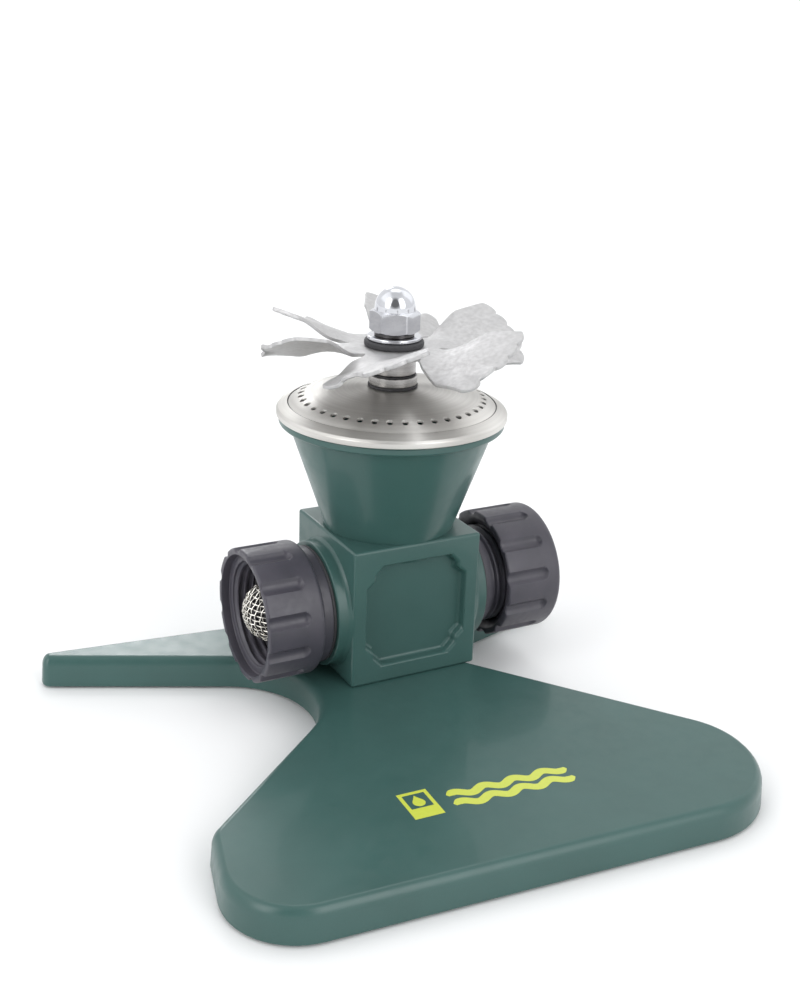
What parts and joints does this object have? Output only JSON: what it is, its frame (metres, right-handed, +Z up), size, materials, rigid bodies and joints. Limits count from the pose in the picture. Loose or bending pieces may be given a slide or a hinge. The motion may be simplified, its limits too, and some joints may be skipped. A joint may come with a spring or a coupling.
{
  "type": "lawn sprinkler",
  "caption": "Spinning-rotor lawn sprinkler on a low cast base, with a ring of jets under a bladed rotor, a swivel hose inlet and a capped outlet.",
  "frame": {"origin": "on the ground at the middle of the base's outline", "axes": "+Z up along the rotor's axis, +X to the right along the base's front edge, +Y to the rear; the head stands 10.9 mm to the right of the origin and 33.7 mm behind it and is turned 6.5 degrees about +Z, so the hose line runs along (0.994, 0.113, 0)"},
  "size_m": [0.1536, 0.1326, 0.1074],
  "materials": {
    "green_enamel": "glossy dark green enamel on a zinc casting",
    "zinc_steel": "zinc-plated steel",
    "satin_stainless": "satin pressed stainless steel",
    "bright_stainless": "bright stamped stainless sheet",
    "turned_steel": "turned steel with fine lathe rings",
    "dark_spring_steel": "dark spring steel",
    "chrome": "bright chrome plate",
    "wire_mesh": "woven stainless wire",
    "black_plastic": "moulded charcoal black plastic, semi-gloss",
    "nylon": "natural nylon",
    "black_rubber": "black rubber"
  },
  "bodies": {
    "stand": {"base": "green_enamel", "base_bolt": "zinc_steel", "base_washer": "zinc_steel", "body_casting": "green_enamel", "cap_gasket": "black_rubber", "nozzle_dish": "satin_stainless", "clamp_ring": "satin_stainless", "spindle_bolt": "zinc_steel", "spindle_inner_washer": "black_rubber", "spindle_seal": "black_rubber", "lower_bush": "turned_steel", "thrust_washer": "black_plastic", "bearing_sleeve": "nylon", "steel_washer": "turned_steel", "lock_washer": "dark_spring_steel", "acorn_nut": "chrome", "inlet_seal": "black_rubber", "inlet_collar": "black_plastic", "inlet_tailpiece": "black_plastic", "outlet_seal": "black_rubber", "outlet_nipple": "black_plastic"},
    "spinner": {"rotor": "bright_stainless", "rotor_hub": "turned_steel", "rotor_rubber_washer": "black_rubber"},
    "swivel": {"inlet_coupling": "black_plastic", "hose_washer": "black_rubber", "filter_rim": "wire_mesh", "filter_screen": "wire_mesh"},
    "cap_seal": {"outlet_cap_washer": "black_rubber"},
    "screw_cap": {"outlet_cap": "black_plastic"}
  },
  "joints": [
    {"name": "rotor_spin", "type": "hinge", "parent": "stand", "child": "spinner", "pos_m": [0.0109, 0.0337, 0.09], "axis": [0, 0, 1], "continuous": true},
    {"name": "inlet_swivel", "type": "hinge", "parent": "stand", "child": "swivel", "pos_m": [-0.02179, 0.02998, 0.0262], "axis": [-0.9936, -0.1132, 0], "continuous": true},
    {"name": "cap_travel", "type": "slide", "parent": "stand", "child": "cap_seal", "axis": [0.9936, 0.1132, 0], "range_m": [0, 0.009]},
    {"name": "cap_unscrew", "type": "hinge", "parent": "cap_seal", "child": "screw_cap", "pos_m": [0.04568, 0.03766, 0.0262], "axis": [0.9936, 0.1132, 0], "range_deg": [0, 1440]}
  ],
  "couplings": [
    {"joint": "cap_travel", "follows": "cap_unscrew", "m_per_rad": 0.00035157}
  ]
}
